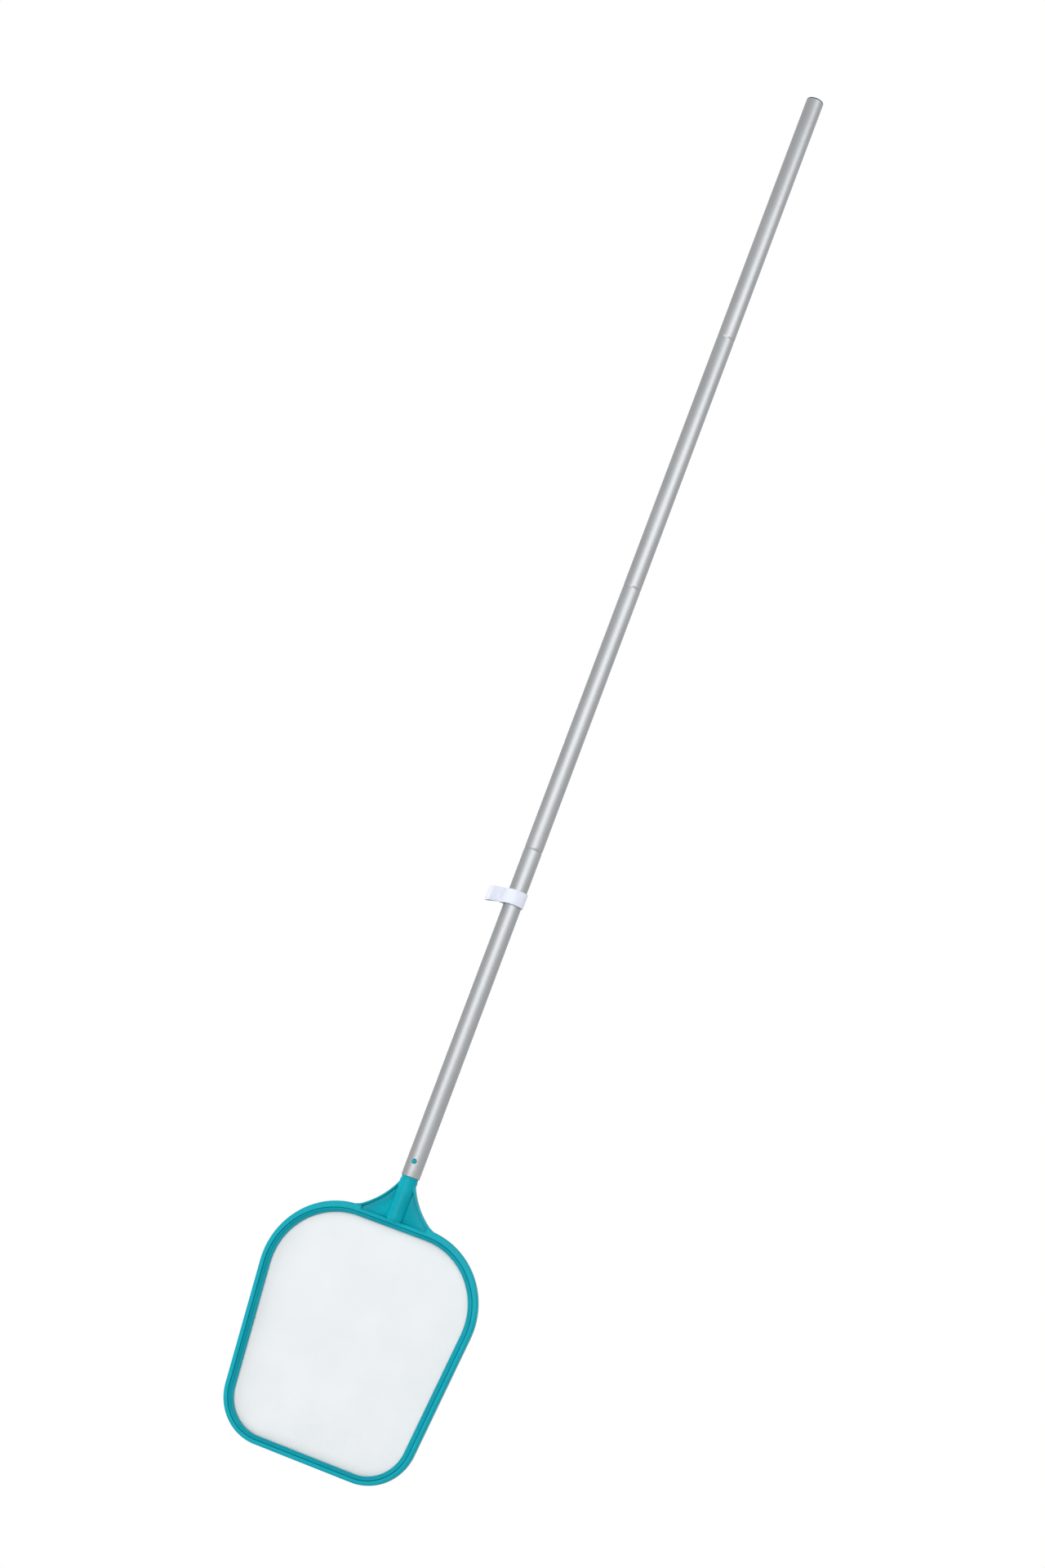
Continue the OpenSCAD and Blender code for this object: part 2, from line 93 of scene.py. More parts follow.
def placeCamera(plan):
    lens = bpy.data.cameras.new("camera")
    lens.lens = plan["lens"]
    lens.sensor_width = 36
    lens.sensor_fit = "AUTO"
    lens.clip_end = 50
    turned = (Matrix.Rotation(math.radians(plan["turn"]), 4, "Z")
              @ Matrix.Rotation(math.radians(90 + plan["lookUp"]), 4, "X")
              @ Matrix.Rotation(math.radians(plan["roll"]), 4, "Z"))
    camera = bpy.data.objects.new("camera", lens)
    eye = Vector((0, 0, rimZ)) - turned @ Vector(plan["rimInView"])
    camera.matrix_world = Matrix.Translation(eye) @ turned
    scene.collection.objects.link(camera)
    scene.camera = camera


placeCamera(cameraPlan)
print("camera placed")


def startMaterial(name):
    material = bpy.data.materials.new(name)
    material.use_nodes = True
    tree = material.node_tree
    shader = tree.nodes["Principled BSDF"]
    place = tree.nodes.new("ShaderNodeTexCoord")
    return material, tree, shader, place


def addGroup(tree, group, place, **values):
    node = tree.nodes.new("ShaderNodeGroup")
    node.node_tree = group
    if place is not None:
        tree.links.new(place, node.inputs["Place"])
    for name, value in values.items():
        node.inputs[name].default_value = value
    return node


def startGroup(name, inputs, outputs):
    group = bpy.data.node_groups.new(name, "ShaderNodeTree")
    group.interface.new_socket("Place", in_out="INPUT", socket_type="NodeSocketVector")
    for label, value in inputs.items():
        socket = group.interface.new_socket(label, in_out="INPUT", socket_type="NodeSocketFloat")
        socket.default_value = value
    for label in outputs:
        group.interface.new_socket(label, in_out="OUTPUT", socket_type="NodeSocketFloat")
    return group, group.nodes.new("NodeGroupInput"), group.nodes.new("NodeGroupOutput")


def addMath(tree, operation, first, second):
    node = tree.nodes.new("ShaderNodeMath")
    node.operation = operation
    for socket, value in zip(node.inputs, (first, second)):
        if isinstance(value, (int, float)):
            socket.default_value = value
        else:
            tree.links.new(value, socket)
    return node.outputs[0]


# slow drift of tone over a surface, from 0 to 1
def makeToneDrift():
    group, given, out = startGroup("toneDrift", {"Scale": 30.0, "Detail": 3.0}, ["Mask"])
    cloud = group.nodes.new("ShaderNodeTexNoise")
    group.links.new(given.outputs["Place"], cloud.inputs["Vector"])
    group.links.new(given.outputs["Scale"], cloud.inputs["Scale"])
    group.links.new(given.outputs["Detail"], cloud.inputs["Detail"])
    spread = group.nodes.new("ShaderNodeMapRange")
    spread.inputs["From Min"].default_value = 0.3
    spread.inputs["From Max"].default_value = 0.7
    group.links.new(cloud.outputs["Fac"], spread.inputs["Value"])
    group.links.new(spread.outputs["Result"], out.inputs["Mask"])
    return group


# fine pits of a moulded or drawn surface, stretched along the pole by Stretch
def makeFineGrain():
    group, given, out = startGroup("fineGrain", {"Scale": 1500.0, "Stretch": 1.0}, ["Height"])
    shape = group.nodes.new("ShaderNodeCombineXYZ")
    shape.inputs["X"].default_value = 1
    shape.inputs["Y"].default_value = 1
    group.links.new(addMath(group, "DIVIDE", 1.0, given.outputs["Stretch"]), shape.inputs["Z"])
    drawn = group.nodes.new("ShaderNodeVectorMath")
    drawn.operation = "MULTIPLY"
    group.links.new(given.outputs["Place"], drawn.inputs[0])
    group.links.new(shape.outputs["Vector"], drawn.inputs[1])
    pits = group.nodes.new("ShaderNodeTexNoise")
    pits.inputs["Detail"].default_value = 4
    group.links.new(drawn.outputs["Vector"], pits.inputs["Vector"])
    group.links.new(given.outputs["Scale"], pits.inputs["Scale"])
    group.links.new(pits.outputs["Fac"], out.inputs["Height"])
    return group


# crossed threads, Pitch apart along the first two axes of Place
def makeWeave():
    group, given, out = startGroup("weave", {"Pitch": 0.001}, ["Height"])
    part = group.nodes.new("ShaderNodeSeparateXYZ")
    group.links.new(given.outputs["Place"], part.inputs["Vector"])
    turns = addMath(group, "DIVIDE", math.pi, given.outputs["Pitch"])
    across = addMath(group, "SINE", addMath(group, "MULTIPLY", part.outputs["X"], turns), 0.0)
    along = addMath(group, "SINE", addMath(group, "MULTIPLY", part.outputs["Y"], turns), 0.0)
    over = addMath(group, "ABSOLUTE", across, 0.0)
    under = addMath(group, "ABSOLUTE", along, 0.0)
    group.links.new(addMath(group, "MULTIPLY", over, under), out.inputs["Height"])
    return group


toneDrift = makeToneDrift()
fineGrain = makeFineGrain()
weave = makeWeave()


def mixTones(tree, mask, dark, light):
    mix = tree.nodes.new("ShaderNodeMix")
    mix.data_type = "RGBA"
    mix.inputs[6].default_value = (*dark, 1)
    mix.inputs[7].default_value = (*light, 1)
    tree.links.new(mask, mix.inputs[0])
    return mix.outputs[2]


def spreadValue(tree, mask, low, high):
    spread = tree.nodes.new("ShaderNodeMapRange")
    spread.inputs["To Min"].default_value = low
    spread.inputs["To Max"].default_value = high
    tree.links.new(mask, spread.inputs["Value"])
    return spread.outputs["Result"]


def addBump(tree, shader, height, strength, distance):
    bump = tree.nodes.new("ShaderNodeBump")
    bump.inputs["Strength"].default_value = strength
    bump.inputs["Distance"].default_value = distance
    tree.links.new(height, bump.inputs["Height"])
    tree.links.new(bump.outputs["Normal"], shader.inputs["Normal"])


def makeMouldedPlastic(name, plan):
    material, tree, shader, place = startMaterial(name)
    drift = addGroup(tree, toneDrift, place.outputs["Object"], Scale=plan["driftScale"])
    grain = addGroup(tree, fineGrain, place.outputs["Object"], Scale=plan["grainScale"])
    tree.links.new(mixTones(tree, drift.outputs["Mask"], plan["deep"], plan["pale"]),
                   shader.inputs["Base Color"])
    tree.links.new(spreadValue(tree, drift.outputs["Mask"], *plan["roughness"]),
                   shader.inputs["Roughness"])
    shader.inputs["Specular IOR Level"].default_value = plan["shine"]
    addBump(tree, shader, grain.outputs["Height"], plan["bump"], plan["relief"])
    return material


def makeDrawnAluminium(name, plan):
    material, tree, shader, place = startMaterial(name)
    drift = addGroup(tree, toneDrift, place.outputs["Object"], Scale=plan["driftScale"])
    lines = addGroup(tree, fineGrain, place.outputs["Object"], Scale=plan["lineScale"],
                     Stretch=plan["lineStretch"])
    scuffs = addMath(tree, "MULTIPLY", drift.outputs["Mask"], 0.5)
    streaks = addMath(tree, "MULTIPLY", lines.outputs["Height"], 0.5)
    mask = addMath(tree, "ADD", scuffs, streaks)
    tree.links.new(mixTones(tree, mask, plan["deep"], plan["pale"]), shader.inputs["Base Color"])
    tree.links.new(spreadValue(tree, mask, *plan["roughness"]), shader.inputs["Roughness"])
    shader.inputs["Metallic"].default_value = 1
    addBump(tree, shader, lines.outputs["Height"], plan["bump"], plan["relief"])
    return material


def makeThread(name, plan):
    material, tree, shader, place = startMaterial(name)
    drift = addGroup(tree, toneDrift, place.outputs["Object"], Scale=plan["driftScale"],
                     Detail=plan["driftDetail"])
    twist = addGroup(tree, fineGrain, place.outputs["Object"], Scale=plan["twistScale"])
    tree.links.new(mixTones(tree, drift.outputs["Mask"], plan["deep"], plan["pale"]),
                   shader.inputs["Base Color"])
    shader.inputs["Roughness"].default_value = plan["roughness"]
    shader.inputs["Specular IOR Level"].default_value = plan["shine"]
    addBump(tree, shader, twist.outputs["Height"], plan["bump"], plan["relief"])
    return material


def makeWebbing(name, plan):
    material, tree, shader, place = startMaterial(name)
    drift = addGroup(tree, toneDrift, place.outputs["Object"], Scale=plan["driftScale"])
    cross = addGroup(tree, weave, place.outputs["UV"], Pitch=plan["pitch"])
    fuzz = addGroup(tree, fineGrain, place.outputs["Object"], Scale=plan["fuzzScale"])
    nap = addMath(tree, "MULTIPLY", fuzz.outputs["Height"], plan["fuzz"])
    height = addMath(tree, "ADD", cross.outputs["Height"], nap)
    shade = addMath(tree, "MULTIPLY", cross.outputs["Height"], 0.5)
    cloud = addMath(tree, "MULTIPLY", drift.outputs["Mask"], 0.5)
    tree.links.new(mixTones(tree, addMath(tree, "ADD", shade, cloud), plan["deep"], plan["pale"]),
                   shader.inputs["Base Color"])
    shader.inputs["Roughness"].default_value = plan["roughness"]
    shader.inputs["Sheen Weight"].default_value = plan["sheen"]
    shader.inputs["Sheen Roughness"].default_value = plan["sheenRoughness"]
    addBump(tree, shader, height, plan["bump"], plan["relief"])
    return material


tealPlastic = makeMouldedPlastic("tealPlastic", {
    "deep": (0.0, 0.276, 0.344), "pale": (0.0, 0.32, 0.393), "driftScale": 18.0,
    "roughness": (0.34, 0.42), "shine": 0.12, "grainScale": 900.0, "bump": 0.12,
    "relief": 0.0002,
})
# painted shade: a darker copy of the frame's teal for the retaining ring, standing in for the
# shade on its inward slope; the ring is moulded in the same teal as the frame
retainerShadedTeal = makeMouldedPlastic("retainerShadedTeal", {
    "deep": (0.0, 0.24, 0.3), "pale": (0.0, 0.28, 0.344), "driftScale": 22.0,
    "roughness": (0.32, 0.4), "shine": 0.12, "grainScale": 900.0, "bump": 0.12,
    "relief": 0.0002,
})
capPlastic = makeMouldedPlastic("capPlastic", {
    "deep": (0.016, 0.017, 0.018), "pale": (0.027, 0.028, 0.03), "driftScale": 60.0,
    "roughness": (0.45, 0.55), "shine": 0.4, "grainScale": 1400.0, "bump": 0.25,
    "relief": 0.0002,
})
drawnAluminium = makeDrawnAluminium("drawnAluminium", {
    "deep": (0.315, 0.325, 0.335), "pale": (0.38, 0.39, 0.4), "driftScale": 9.0,
    "lineScale": 1600.0, "lineStretch": 60.0, "roughness": (0.46, 0.54), "bump": 0.05,
    "relief": 0.0001,
})
netThread = makeThread("netThread", {
    "deep": (0.67, 0.705, 0.727), "pale": (0.72, 0.75, 0.768), "driftScale": 16.0,
    "driftDetail": 5.0, "twistScale": 2500.0, "roughness": 0.55, "shine": 0.3, "bump": 0.2,
    "relief": 0.0001,
})
softWebbing = makeWebbing("softWebbing", {
    "deep": (0.61, 0.64, 0.74), "pale": (0.73, 0.76, 0.87), "driftScale": 60.0, "pitch": 0.0008,
    "fuzzScale": 1800.0, "fuzz": 0.5, "roughness": 0.8, "sheen": 0.25, "sheenRoughness": 0.5,
    "bump": 0.5, "relief": 0.0003,
})
print("materials made")


def roundOff(bm, geom, offset, affect="EDGES", segments=4):
    bmesh.ops.bevel(bm, geom=geom, offset=offset, segments=segments, profile=0.5,
                    affect=affect, material=-1)


# a chain of corners turned about an axis along z, closed on itself unless open
def turnProfile(profile, sides, isOpen=False):
    bm = bmesh.new()
    corners = [bm.verts.new((radius, 0, height)) for radius, height, soft in profile]
    for corner, following in zip(corners, corners[1:]):
        bm.edges.new((corner, following))
    if not isOpen:
        bm.edges.new((corners[-1], corners[0]))
    for corner, (radius, height, soft) in zip(corners, profile):
        if soft:
            roundOff(bm, [corner], soft, affect="VERTICES")
    bmesh.ops.spin(bm, geom=bm.verts[:] + bm.edges[:], axis=(0, 0, 1), cent=(0, 0, 0),
                   angle=math.tau, steps=sides, use_merge=True)
    bmesh.ops.remove_doubles(bm, verts=bm.verts[:], dist=1e-6)
    bmesh.ops.recalc_face_normals(bm, faces=bm.faces[:])
    return bm


# vertices along an arc from one vertex, turned about centre
def spinVertex(bm, vertex, centre, angle, steps):
    known = len(bm.verts)
    bmesh.ops.spin(bm, geom=[vertex], axis=(0, 0, 1), cent=centre, angle=angle, steps=steps)
    bm.verts.ensure_lookup_table()
    return bm.verts[known:]


def makeObject(name, bm, finish, crease=35):
    for face in bm.faces:
        face.smooth = True
    for edge in bm.edges:
        edge.smooth = edge.is_manifold and edge.calc_face_angle() < math.radians(crease)
    mesh = bpy.data.meshes.new(name)
    bm.to_mesh(mesh)
    bm.free()
    mesh.materials.append(finish)
    made = bpy.data.objects.new(name, mesh)
    scene.collection.objects.link(made)
    return made


def addModifier(made, kind, **values):
    modifier = made.modifiers.new(kind.lower(), kind)
    for name, value in values.items():
        setattr(modifier, name, value)
    return modifier


# fixes the modifiers in the mesh, and takes away what they used
def applyModifiers(made, used=()):
    bpy.context.view_layer.update()
    settled = made.evaluated_get(bpy.context.evaluated_depsgraph_get())
    mesh = bpy.data.meshes.new_from_object(settled)
    made.modifiers.clear()
    made.data = mesh
    for tool in used:
        bpy.data.objects.remove(tool)
    return made


def joinBody(made, body, slot, *nodes):
    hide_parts(*nodes)
    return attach(made, body)


tubePlan = {
    "radius": 0.0125,
    "wall": 0.001,
    "neckGap": 0.00006,
    "coneHeight": 0.0024,
    "seatGap": 0.0003,
    "neckLength": 0.07,
    "rimRounding": 0.00035,
    "shoulderRounding": 0.0011,
    "sides": 96,
}
tubes = ["pole_section_1", "pole_section_2", "pole_section_3", "pole_section_4"]
tubeBodies = ["pole_top", "second_tube", "third_tube", "net_end"]


# a tube whose lower end is drawn down to a neck that fits the next tube
def makeReducedTube(node, nextNode, body):
    plan = tubePlan
    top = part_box(node)[1].z
    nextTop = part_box(nextNode)[1].z
    bore = plan["radius"] - plan["wall"]
    neck = bore - plan["neckGap"]
    neckBore = neck - plan["wall"]
    coneBottom = nextTop + plan["seatGap"]
    coneTop = coneBottom + plan["coneHeight"]
    bottom = nextTop - plan["neckLength"]
    soft = plan["rimRounding"]
    bend = plan["shoulderRounding"]
    profile = [
        (bore, top, soft), (plan["radius"], top, soft), (plan["radius"], coneTop, bend),
        (neck, coneBottom, bend / 2), (neck, bottom, soft), (neckBore, bottom, soft),
        (neckBore, coneBottom, bend / 2), (bore, coneTop, bend),
    ]
    tube = makeObject(node.replace("pole_section", "tube"), turnProfile(profile, plan["sides"]),
                      drawnAluminium)
    return joinBody(tube, body, "tube", node)


for node, nextNode, body in zip(tubes, tubes[1:], tubeBodies):
    makeReducedTube(node, nextNode, body)

buttonPlan = {
    "height": 0.0205,  # of the button's middle above the pole's lower rim
    "radius": 0.003,
    "holeGap": 0.0003,
    "spigotGap": 0.0006,
    "proud": 0.0009,
    "sides": 48,
    "cutterLength": 0.04,
    "collar": 0.0075,  # fine rings of the tube reach so far above and below the hole
    "collarRings": 15,
}


def makeHoleCutter(gap):
    bm = bmesh.new()
    place = (Matrix.Translation((0, 0, rimZ + buttonPlan["height"]))
             @ Matrix.Rotation(math.pi / 2, 4, "X"))
    radius = buttonPlan["radius"] + gap
    bmesh.ops.create_cone(bm, cap_ends=True, segments=buttonPlan["sides"], radius1=radius,
                          radius2=radius, depth=buttonPlan["cutterLength"], matrix=place)
    return makeObject("holeCutter", bm, drawnAluminium)


def makeBottomTube(node, body):
    plan = tubePlan
    low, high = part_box(node)
    bore = plan["radius"] - plan["wall"]
    soft = plan["rimRounding"]
    holeZ = rimZ + buttonPlan["height"]
    collar = buttonPlan["collar"]
    rings = [holeZ + collar - 2 * collar * number / buttonPlan["collarRings"]
             for number in range(buttonPlan["collarRings"] + 1)]
    profile = [(bore, high.z, soft), (plan["radius"], high.z, soft)]
    profile += [(plan["radius"], ring, 0) for ring in rings]
    profile += [(plan["radius"], low.z, soft), (bore, low.z, soft)]
    profile += [(bore, ring, 0) for ring in reversed(rings)]
    tube = makeObject("tube_4", turnProfile(profile, plan["sides"]), drawnAluminium)
    cutter = makeHoleCutter(buttonPlan["holeGap"])
    addModifier(tube, "BOOLEAN", object=cutter, operation="DIFFERENCE", solver="EXACT")
    applyModifiers(tube, [cutter])
    return joinBody(tube, body, "tube", node)


makeBottomTube("pole_section_4", "net_end")

capPlan = {
    "flangeInset": 0.00015,
    "flangeHeight": 0.0025,
    "domeRise": 0.0009,
    "plugLength": 0.018,
    "plugWall": 0.0018,
    "plugGap": 0.0004,
    "ribGap": 0.00005,
    "ribHeight": 0.0015,
    "flangeRounding": 0.0005,
    "seatRounding": 0.0001,
    "ribRounding": 0.0003,
    "plugRounding": 0.0004,
    "roof": 0.0005,  # the hollow ends so far under the tube's rim
    "sides": 96,
}


def makeEndCap():
    plan = capPlan
    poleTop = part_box("pole_section_1")[1].z
    flange = tubePlan["radius"] - plan["flangeInset"]
    plug = tubePlan["radius"] - tubePlan["wall"] - plan["plugGap"]
    rib = tubePlan["radius"] - tubePlan["wall"] - plan["ribGap"]
    edgeTop = poleTop + plan["flangeHeight"] - plan["domeRise"]
    domeRadius = (flange ** 2 + plan["domeRise"] ** 2) / (2 * plan["domeRise"])
    domeCentre = poleTop + plan["flangeHeight"] - domeRadius
    profile = [(0, poleTop + plan["flangeHeight"], 0)]
    for share in (0.25, 0.5, 0.75):
        radius = share * flange
        profile.append((radius, domeCentre + math.sqrt(domeRadius ** 2 - radius ** 2), 0))
    profile += [(flange, edgeTop, plan["flangeRounding"]), (flange, poleTop, plan["seatRounding"]),
                (plug, poleTop, 0)]
    ribSoft = plan["ribRounding"]
    for number in (1, 2, 3):
        ribBottom = poleTop - number * plan["plugLength"] / 4
        ribTop = ribBottom + plan["ribHeight"]
        profile += [(plug, ribTop, 0), (rib, ribTop, ribSoft),
                    (rib, ribBottom, ribSoft), (plug, ribBottom, 0)]
    hollow = plug - plan["plugWall"]
    plugEnd = poleTop - plan["plugLength"]
    roof = poleTop - plan["roof"]
    profile += [(plug, plugEnd, plan["plugRounding"]), (hollow, plugEnd, plan["plugRounding"]),
                (hollow, roof, 0), (0, roof, 0)]
    cap = makeObject("endCap", turnProfile(profile, plan["sides"], isOpen=True), capPlastic)
    return joinBody(cap, "pole_top", "cap", "pole_end_cap")


makeEndCap()
print("pole made")


# sizes of the ring's outer line: half its width, drops from the pole's rim, corner radii
ringPlan = {
    "half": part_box("net_frame")[1].x,
    "top": 0.055,
    "bottom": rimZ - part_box("net_frame")[0].z,
    "topRound": 0.1,
    "bottomRound": 0.064,
    "lean": math.radians(5.7),
    "cornerSteps": 28,
    "band": (0.014, 0.013, 0.011),  # widths at the top, sides and bottom
    "retainer": (0.0049, 0.007, 0.0056),
    "pocketGap": 0.00004,
    "halfDepth": 0.0065,
    "ledge": -0.0006,  # where the net's edge lies, under the retaining ring's foot
    "rimRounding": 0.0021,
    "pocketRounding": 0.0009,
    "ledgeRounding": 0.0004,
    "innerRounding": 0.0012,
}


# a line drawn in from another by its widths at the top, sides and bottom
def drawIn(line, top, side, bottom):
    inner = dict(line)
    inner["half"] -= side
    inner["top"] += top
    inner["bottom"] -= bottom
    inner["topRound"] -= (top + side) / 2
    inner["bottomRound"] -= (bottom + side) / 2
    return inner


grooveLine = drawIn(ringPlan, *(a - b for a, b in zip(ringPlan["band"], ringPlan["retainer"])))
innerLine = drawIn(ringPlan, *ringPlan["band"])


# the right half of a line, from the middle of the top to the middle of the bottom
def chainHalf(bm, line, height):
    lean = line["lean"]
    out = Vector((math.cos(lean), -math.sin(lean)))
    upper = Vector((line["half"] - line["topRound"], -line["top"] - line["topRound"]))
    lowerY = line["bottomRound"] - line["bottom"]
    reach = upper.dot(out) + line["topRound"] - line["bottomRound"]
    lower = Vector(((reach - lowerY * out.y) / out.x, lowerY))
    steps = line["cornerSteps"]
    chain = [bm.verts.new((0, -line["top"], height))]
    chain.append(bm.verts.new((upper.x, -line["top"], height)))
    chain += spinVertex(bm, chain[-1], (*upper, height), -math.pi / 2 - lean, steps)
    chain.append(bm.verts.new((*(lower + line["bottomRound"] * out), height)))
    chain += spinVertex(bm, chain[-1], (*lower, height), lean - math.pi / 2, steps)
    chain.append(bm.verts.new((0, -line["bottom"], height)))
    for first, second in zip(chain, chain[1:]):
        if not bm.edges.get((first, second)):
            bm.edges.new((first, second))
    return [bm.edges.get(pair) for pair in zip(chain, chain[1:])]


# a closed band round the ring: each section corner is (line, height, rounding)
def makeBand(section):
    bm = bmesh.new()
    chains = [chainHalf(bm, line, height) for line, height, soft in section]
    for chain, following in zip(chains, chains[1:] + chains[:1]):
        bmesh.ops.bridge_loops(bm, edges=chain + following)
    for chain, (line, height, soft) in zip(chains, section):
        if soft:
            roundOff(bm, chain, soft)
    bmesh.ops.mirror(bm, geom=bm.verts[:] + bm.edges[:] + bm.faces[:], axis="X", merge_dist=1e-5)
    bmesh.ops.remove_doubles(bm, verts=bm.verts[:], dist=1e-6)
    bmesh.ops.recalc_face_normals(bm, faces=bm.faces[:])
    return bm


def makeFrameRing():
    plan = ringPlan
    front = plan["halfDepth"]
    gap = plan["pocketGap"]
    ledge = plan["ledge"]
    pocket = drawIn(grooveLine, -gap, -gap, -gap)
    section = [
        (plan, front, plan["rimRounding"]), (pocket, front, plan["pocketRounding"]),
        (pocket, ledge, 0), (innerLine, ledge, plan["ledgeRounding"]),
        (innerLine, -front, plan["innerRounding"]), (plan, -front, plan["rimRounding"]),
    ]
    return makeBand(section)


retainerPlan = {
    "crestHeight": 0.0059,
    "crestBevel": 0.0012,
    "grooveDepth": 0.001,
    "crestWidth": 0.00075,
    "slopeFoot": 0.0042,
    "lipHeight": 0.003,
    "grooveRounding": 0.0004,
    "crestRounding": 0.0003,
    "footRounding": 0.0004,
    "lipRounding": 0.0007,
}


def makeRetainer():
    plan = retainerPlan
    step = [drawIn(grooveLine, inset, inset, inset) for inset in
            (plan["crestBevel"], plan["crestBevel"] + plan["crestWidth"], plan["slopeFoot"])]
    crest, lip = plan["crestHeight"], plan["lipHeight"]
    section = [
        (grooveLine, 0, 0), (grooveLine, crest - plan["grooveDepth"], plan["grooveRounding"]),
        (step[0], crest, plan["crestRounding"]), (step[1], crest, plan["crestRounding"]),
        (step[2], lip, plan["footRounding"]), (innerLine, lip, plan["lipRounding"]),
        (innerLine, 0, 0),
    ]
    return makeBand(section)


gussetPlan = {
    "leave": (0.0099, -0.0071),  # where the hollow edge leaves the neck
    "corner": (0.0465, -0.0515),
    "edgeRadius": 0.105,
    "land": 0.062,  # half the width across the feet
    "blendRadius": 0.038,
    "halfDepth": 0.00641,
    "rounding": 0.0013,
    "webHalf": 0.002,
    "rim": 0.0026,
    "panelFloor": -0.0595,
    "panelRound": 0.0035,
    "middleGap": 0.0012,  # from the pole's axis to each half plate, inside the neck
    "panelGap": 0.001,  # and to each panel's cutter
    "landSink": 0.0006,  # how far the plate's foot is set into the ring
    "footSink": 0.0015,
    "cutterReach": 0.005,
    "steps": 24,
    "cornerSteps": 8,
}


# centre of the arc of that radius from start to end, on the left of the way
def arcCentre(start, end, radius):
    way = end - start
    half = way.length / 2
    side = Vector((-way.y, way.x)).normalized()
    return (start + end) / 2 + side * math.sqrt(radius ** 2 - half ** 2)


# a plate on a closed chain of vertices, and its mirror image
def raiseOutline(bm, chain, low, high, rounding):
    face = bm.faces.new(chain)
    bmesh.ops.translate(bm, verts=bm.verts[:], vec=(0, 0, low))
    raised = bmesh.ops.extrude_face_region(bm, geom=[face])["geom"]
    tops = [item for item in raised if isinstance(item, bmesh.types.BMVert)]
    bmesh.ops.translate(bm, verts=tops, vec=(0, 0, high - low))
    bmesh.ops.recalc_face_normals(bm, faces=bm.faces[:])
    if rounding:
        level = [edge for edge in bm.edges if abs(edge.verts[0].co.z - edge.verts[1].co.z) < 1e-6]
        roundOff(bm, level, rounding)
    bmesh.ops.mirror(bm, geom=bm.verts[:] + bm.edges[:] + bm.faces[:], axis="X", merge_dist=0)
    bmesh.ops.recalc_face_normals(bm, faces=bm.faces[:])


# both gussets: hollow from the neck to the corner, then blended into the ring
def makeGussets():
    plan = gussetPlan
    bm = bmesh.new()
    leave, corner = Vector(plan["leave"]), Vector(plan["corner"])
    topRound = ringPlan["topRound"]
    upper = Vector((ringPlan["half"] - topRound, -ringPlan["top"] - topRound))
    rise = math.sqrt(topRound ** 2 - (plan["land"] - upper.x) ** 2)
    land = Vector((plan["land"], upper.y + rise - plan["landSink"]))
    chain = [bm.verts.new((*leave, 0))]
    for start, end, radius in ((leave, corner, plan["edgeRadius"]),
                               (corner, land, plan["blendRadius"])):
        turn = 2 * math.asin((end - start).length / 2 / radius)
        centre = (*arcCentre(start, end, radius), 0)
        chain += spinVertex(bm, chain[-1], centre, turn, plan["steps"])
    inside = plan["panelFloor"] - plan["footSink"]
    middle = plan["middleGap"]
    for point in ((land.x, inside), (middle, inside), (middle, leave.y)):
        chain.append(bm.verts.new((*point, 0)))
    raiseOutline(bm, chain, -plan["halfDepth"], plan["halfDepth"], plan["rounding"])
    return bm


# cutters for the sunk panels at both sides of the neck, on one face
def makePanelCutters(low, high):
    plan = gussetPlan
    bm = bmesh.new()
    hollow = arcCentre(Vector(plan["leave"]), Vector(plan["corner"]), plan["edgeRadius"])
    edge = plan["edgeRadius"] + plan["rim"]
    drop = plan["panelFloor"] + plan["panelRound"]
    side = math.sqrt((edge + plan["panelRound"]) ** 2 - (hollow.y - drop) ** 2)
    end = Vector((hollow.x - side, drop))
    meet = hollow + (end - hollow).normalized() * edge
    toMeet = (meet - end).normalized()
    turn = math.atan2(toMeet.y, toMeet.x) + math.pi / 2
    start = bm.verts.new((*meet, 0))
    upTurn = -math.asin((meet - Vector(plan["leave"])).length / 2 / edge) * 2
    chain = [start]
    chain += spinVertex(bm, start, (*hollow, 0), upTurn, plan["steps"])
    chain.append(bm.verts.new((plan["panelGap"], chain[-1].co.y, 0)))
    chain.append(bm.verts.new((plan["panelGap"], plan["panelFloor"], 0)))
    foot = bm.verts.new((end.x, plan["panelFloor"], 0))
    chain.append(foot)
    chain += spinVertex(bm, foot, (*end, 0), turn, plan["cornerSteps"])[:-1]
    raiseOutline(bm, chain, low, high, 0)
    return bm


# heights from the pole's lower rim
neckPlan = {
    "radius": 0.0118,
    "end": -0.063,
    "endSlope": 0.005,
    "bare": -0.0037,
    "spigotRadius": 0.0112,
    "spigotTop": 0.05,
    "spigotChamfer": 0.001,
    "bore": 0.0092,
    "boreFloor": -0.0229,
    "endRounding": 0.001,
    "slopeRounding": 0.0012,
    "collarRounding": 0.0004,
    "stepRounding": 0.0002,
    "boreRounding": 0.0005,
    "sides": 72,
}


# the neck and its hollow spigot, turned about the pole's axis in the row frame
def makeNeck():
    plan = neckPlan
    profile = [
        (0, plan["end"], 0),
        (plan["radius"] - plan["endSlope"], plan["end"], plan["endRounding"]),
        (plan["radius"], plan["end"] + plan["endSlope"], plan["slopeRounding"]),
        (plan["radius"], plan["bare"], plan["collarRounding"]),
        (plan["spigotRadius"], plan["bare"], plan["stepRounding"]),
        (plan["spigotRadius"], plan["spigotTop"], plan["spigotChamfer"]),
        (plan["bore"], plan["spigotTop"], plan["boreRounding"]),
        (plan["bore"], plan["boreFloor"], plan["boreRounding"]),
        (0, plan["boreFloor"], 0),
    ]
    bm = turnProfile(profile, plan["sides"], isOpen=True)
    bmesh.ops.translate(bm, verts=bm.verts[:], vec=(0, 0, rimZ))
    return bm


